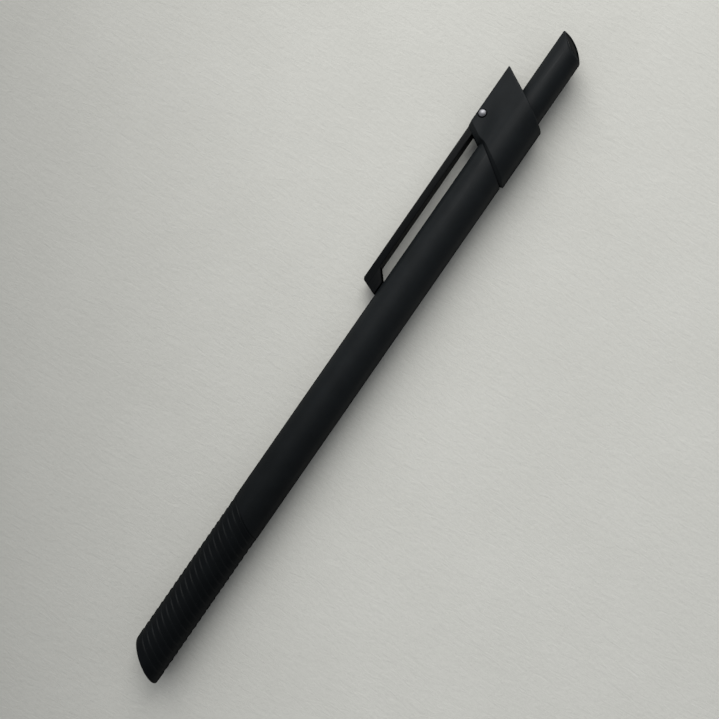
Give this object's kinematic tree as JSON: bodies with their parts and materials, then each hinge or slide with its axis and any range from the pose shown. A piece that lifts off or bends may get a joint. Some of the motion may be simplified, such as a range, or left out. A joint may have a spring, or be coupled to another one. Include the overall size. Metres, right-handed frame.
{
  "type": "retractable ballpoint pen",
  "caption": "Slim click ballpoint pen: slant-cut nose, obliquely ribbed grip, plain barrel, slant-cut collar with a hinged clip, domed push button, and the refill, springs and cam inside.",
  "frame": {"origin": "on the pen's axis, level with the foremost edge of the slanted nose", "axes": "+X along the pen's axis from the nose to the push button, +Y from the axis towards the clip, +Z completes the right-handed frame"},
  "size_m": [0.1475, 0.0122, 0.009],
  "materials": {
    "grip_black": "matt black with fine oblique ribs",
    "bush_black": "smooth black plastic",
    "connector_black": "smooth dark plastic",
    "barrel_black": "satin black",
    "collar_black": "satin black",
    "sleeve_natural": "natural acetal",
    "clip_black": "semi-gloss black",
    "pin_steel": "bright steel",
    "spring_steel": "drawn spring wire",
    "button_black": "satin black",
    "dome_black": "polished black",
    "plunger_blue": "moulded acetal",
    "cam_natural": "moulded acetal",
    "tube_white": "translucent white polypropylene",
    "plug_white": "white plastic",
    "ink_blue": "blue ink paste",
    "grease_amber": "amber follower grease",
    "tip_nickel_silver": "turned nickel silver",
    "ball_carbide": "polished tungsten carbide"
  },
  "bodies": {
    "pen_body": {"barrel": "barrel_black", "front_connector": "connector_black", "collar": "collar_black", "guide_sleeve": "sleeve_natural", "clip_pin": "pin_steel", "clip_spring": "spring_steel"},
    "front_section": {"grip_section": "grip_black", "nose_bush": "bush_black", "return_spring": "spring_steel"},
    "button": {"push_button": "button_black", "button_dome": "dome_black", "plunger": "plunger_blue"},
    "cam": {"rotating_cam": "cam_natural"},
    "refill": {"refill_tube": "tube_white", "refill_end_plug": "plug_white", "ink_column": "ink_blue", "grease_plug": "grease_amber", "refill_tip_holder": "plug_white", "refill_tip": "tip_nickel_silver", "tip_ball": "ball_carbide"},
    "clip": {"clip": "clip_black"}
  },
  "joints": [
    {"name": "button_press", "type": "slide", "parent": "pen_body", "child": "button", "axis": [-1, 0, 0], "range_m": [0, 0.0068]},
    {"name": "cam_index", "type": "hinge", "parent": "button", "child": "cam", "pos_m": [0.114, 0, 0], "axis": [1, 0, 0], "range_deg": [0, 20]},
    {"name": "refill_slide", "type": "slide", "parent": "pen_body", "child": "refill", "axis": [-1, 0, 0], "range_m": [0, 0.0068], "deforming": ["return_spring"]},
    {"name": "clip_pivot", "type": "hinge", "parent": "pen_body", "child": "clip", "pos_m": [0.1254, 0.0065, 0], "axis": [0, 0, -1], "range_deg": [0, 5], "deforming": ["clip_spring"]},
    {"name": "front_pull", "type": "slide", "parent": "pen_body", "child": "front_section", "axis": [-1, 0, 0], "range_m": [0, 0.0095]}
  ],
  "couplings": [
    {"joint": "cam_index", "follows": "button_press", "rad_per_m": 51.3},
    {"joint": "refill_slide", "follows": "button_press", "ratio": 1}
  ]
}
